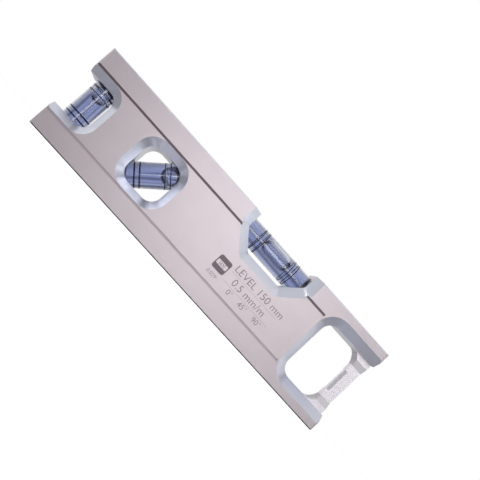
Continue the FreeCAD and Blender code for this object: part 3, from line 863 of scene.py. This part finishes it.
rounded_plate("sign_plate", SIGN_SIDE, SIGN_SIDE, SIGN_CORNER, WINDOW_WIDTH, WINDOW_HEIGHT)
rounded_plate("sign_bubble", SIGN_BUBBLE_WIDTH, SIGN_BUBBLE_HEIGHT, SIGN_BUBBLE_CORNER,
              SIGN_BUBBLE_WIDTH - 2 * LINE, SIGN_BUBBLE_HEIGHT - 2 * LINE)
for side in (-1, 1):
    bpy.ops.object.select_all(action="DESELECT")
    bpy.ops.mesh.primitive_cube_add(size=1, location=SIGN_MIDDLE + Vector((side * MARK_OFFSET, 0, 0)))
    mark = bpy.context.object
    mark.scale = (LINE, 2 * PRINT_DEPTH, WINDOW_HEIGHT)
    finish_print(mark, "sign_line")
print("parts of the print:", len(print_parts))

# %% [markdown]
# ## One piece of print
# All of the ink is printed in one go and never comes apart, so its parts are joined into
# a single piece that rides with the bar. Parts under one parent would look the same, but
# one piece is easier to hide, recolour or replace.

# %% Join the print
only(print_parts[0])
for part in print_parts:
    part.select_set(True)
bpy.ops.object.join()
face_print = bpy.context.object
face_print.name = face_print.data.name = "face_print"
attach(face_print, "bar")
print("print covers", [round(v / MM, 2) for v in face_print.dimensions], "mm")
print("print triangles:", triangles(face_print))

# %% [markdown]
# ## A background in its own right
# The level is shown on white, but a studio that is white all round would light it flat
# and wash out the metal. Light Path tells what kind of ray asks for a colour. A camera
# ray gets white, and so does, in part, a ray that metal reflects or glass lets through,
# while the rays that light the object get a plain, darker sky. A ray that goes through
# glass also counts as glossy, so the metal's part leaves those out.

# %% What counts as background


def math_node(owner, operation, first, second):
    """Each of the two inputs is a number or the output of another node."""
    node = add_node(owner, "ShaderNodeMath", operation=operation)
    for socket, value in zip(node.inputs, (first, second)):
        if isinstance(value, float):
            socket.default_value = value
        else:
            wire(owner, value, socket)
    return node.outputs["Value"]


def seen_as_white(owner, share_for_metal, share_for_glass):
    """1 for what the camera sees, and those shares for what metal reflects and glass lets through."""
    ray = add_node(owner, "ShaderNodeLightPath").outputs
    through = ray["Is Transmission Ray"]
    reflected = math_node(owner, "SUBTRACT", ray["Is Glossy Ray"], through)
    in_metal = math_node(owner, "MULTIPLY", reflected, share_for_metal)
    in_glass = math_node(owner, "MULTIPLY", through, share_for_glass)
    bent = math_node(owner, "MAXIMUM", in_metal, in_glass)
    return math_node(owner, "MAXIMUM", ray["Is Camera Ray"], bent)


print("the background asks what kind of ray looks at it")

# %% [markdown]
# ## The floor
# The level stands on a large pale plane, matt and without any gloss. For the camera the
# plane glows, so that it blends into the white behind it with only the soft shadow at the
# base left. What metal and glass show of it glows too, but only behind the level: in
# front it stays dim, and gives the metal something darker to reflect.

# %% Floor
FLOOR_SIZE = 6.0
FLOOR_GREY = 0.86
FLOOR_GLOW = 0.78
GLOW_FROM, GLOW_TO = 0.02, 0.20
bpy.ops.object.select_all(action="DESELECT")
bpy.ops.mesh.primitive_plane_add(size=FLOOR_SIZE, location=(0, 0, 0))
floor = bpy.context.object
floor.name = "studio_floor"
floor_material, floor_shader = new_material(
    "studio_floor", Base_Color=(FLOOR_GREY, FLOOR_GREY, FLOOR_GREY, 1), Roughness=0.9, Specular_IOR_Level=0.0,
    Emission_Color=(1, 1, 1, 1))
place = add_node(floor_material, "ShaderNodeTexCoord")
split = add_node(floor_material, "ShaderNodeSeparateXYZ")
behind = add_node(floor_material, "ShaderNodeMapRange", From_Min=GLOW_FROM, From_Max=GLOW_TO)
wire(floor_material, place.outputs["Object"], split.inputs["Vector"])
wire(floor_material, split.outputs["Y"], behind.inputs["Value"])
shown = seen_as_white(floor_material, behind.outputs["Result"], behind.outputs["Result"])
glow = math_node(floor_material, "MULTIPLY", shown, FLOOR_GLOW)
wire(floor_material, glow, floor_shader.inputs["Emission Strength"])
floor.data.materials.append(floor_material)
print("floor at Z =", floor.location.z)

# %% [markdown]
# ## The sky
# Two skies are mixed: a dim, faintly violet one that lights the object, and a white one
# for the background. How much white metal and glass see depends on the direction, so
# each has a ramp along an axis. Metal sees white behind the level and dark in front, as
# in a studio with one white wall. A vial is a strong lens, which draws all that lies
# round it into thin stripes along the tube. In a room those are windows and furniture.
# Here a ramp of light and dark bands stands in for them, which is steadier than a
# picture of a room and needs no file.

# %% A ramp over the sky
SKY_TINT = (0.95, 0.94, 1.0, 1)
SKY_STRENGTH = 0.24
world = bpy.context.scene.world or bpy.data.worlds.new("studio")
bpy.context.scene.world = world
world.use_nodes = True
for node in list(world.node_tree.nodes):
    world.node_tree.nodes.remove(node)
sky_place = add_node(world, "ShaderNodeTexCoord")


def sky_share(axis, stops):
    """How white the sky is. A stop is (cosine between direction and axis, white), and the rest is blended."""
    along = add_node(world, "ShaderNodeVectorMath", operation="DOT_PRODUCT")
    along.inputs[1].default_value = Vector(axis).normalized()
    wire(world, sky_place.outputs["Generated"], along.inputs[0])
    place = add_node(world, "ShaderNodeMapRange", From_Min=-1.0)
    wire(world, along.outputs["Value"], place.inputs["Value"])
    ramp = add_node(world, "ShaderNodeValToRGB")
    elements = ramp.color_ramp.elements
    for element, (cosine, white) in zip((elements[0], elements[-1]), (stops[0], stops[-1])):
        element.position = (cosine + 1) / 2
        element.color = (white, white, white, 1)
    for cosine, white in stops[1:-1]:
        element = elements.new((cosine + 1) / 2)
        element.color = (white, white, white, 1)
    print("sky ramp:", [(round(e.position * 2 - 1, 2), round(e.color[0], 2)) for e in elements])
    wire(world, place.outputs["Result"], ramp.inputs["Fac"])
    return ramp.outputs["Color"]


print("the world starts with", len(world.node_tree.nodes), "node")

# %% [markdown]
# ## White for metal, stripes for glass
# The metal's axis points back and a little down. So metal sees dark in front, about half
# white overhead, and white behind. The glass's axis points right and down, which is
# straight down in the rolled picture, and its bands are narrow where the vials look at
# the sky: the plumb vial round -0.16, the diagonal one round -0.07, the level one round
# 0.04. Each band was set by what it changes in the picture.

# %% Mix the two skies
METAL_AXIS = (0, 1, -0.30)
METAL_STOPS = ((-0.60, 0.0), (-0.15, 0.68), (0.25, 1.0))
GLASS_AXIS = (1, 0.05, -1)
STRIPES = (
    (-0.60, 0.20), (-0.46, 0.05), (-0.42, 1.0), (-0.36, 1.0), (-0.33, 0.30), (-0.30, 1.0), (-0.24, 1.0),
    (-0.19, 0.30), (-0.14, 0.30), (-0.10, 1.0), (-0.02, 1.0), (0.01, 0.30), (0.05, 0.15), (0.09, 0.60),
    (0.14, 0.70), (0.18, 0.25), (0.22, 0.90), (0.28, 0.90), (0.33, 0.05), (0.45, 0.10), (0.70, 0.60),
)
metal_share = sky_share(METAL_AXIS, METAL_STOPS)
glass_share = sky_share(GLASS_AXIS, STRIPES)
light_sky = add_node(world, "ShaderNodeBackground", Color=SKY_TINT, Strength=SKY_STRENGTH)
white_sky = add_node(world, "ShaderNodeBackground", Color=(1, 1, 1, 1))
sky_mix = add_node(world, "ShaderNodeMixShader")
sky_output = add_node(world, "ShaderNodeOutputWorld")
wire(world, seen_as_white(world, metal_share, glass_share), sky_mix.inputs["Fac"])
wire(world, light_sky.outputs["Background"], sky_mix.inputs[1])
wire(world, white_sky.outputs["Background"], sky_mix.inputs[2])
wire(world, sky_mix.outputs["Shader"], sky_output.inputs["Surface"])
print("sky strength:", SKY_STRENGTH)

# %% [markdown]
# ## Lamps
# Six soft lamps stand for the windows of a room. The key and high lamps are wide enough
# for a soft, unbroken highlight along each vial, and the right lamp brightens one side of
# the face. The top lamp lights the upper edges, and the glint and side lamps put small
# glints in the bevels. A point lamp is simpler, but it would leave dots on the glass,
# while the size of an area lamp sets how soft its light and its reflection are.

# %% Lamps
LAMP_AIM = Vector((0, 0, 0.02))
LAMPS = (
    ("key_lamp", (0.02, -0.50, 0.10), (0.18, 0.18), 0.44),
    ("right_lamp", (0.26, -0.50, 0.12), (0.06, 0.30), 0.17),
    ("high_lamp", (0.0, -0.85, 0.55), (0.60, 0.30), 0.41),
    ("top_lamp", (0.0, -0.25, 1.0), (0.60, 0.40), 0.6),
    ("glint_lamp", (-0.37, -0.12, 0.38), (0.05, 0.05), 0.10),
    ("side_lamp", (0.37, -0.14, 0.38), (0.16, 0.16), 0.07),
)
for name, at, size, power in LAMPS:
    data = bpy.data.lights.new(name, "AREA")
    data.shape = "RECTANGLE"
    data.size, data.size_y = size
    data.energy = power
    lamp = bpy.data.objects.new(name, data)
    bpy.context.scene.collection.objects.link(lamp)
    lamp.location = at
    lamp.rotation_mode = "QUATERNION"
    lamp.rotation_quaternion = (LAMP_AIM - Vector(at)).to_track_quat("-Z", "Y")
    print(name, "is", round((LAMP_AIM - Vector(at)).length, 2), "m away and gives", power, "W")
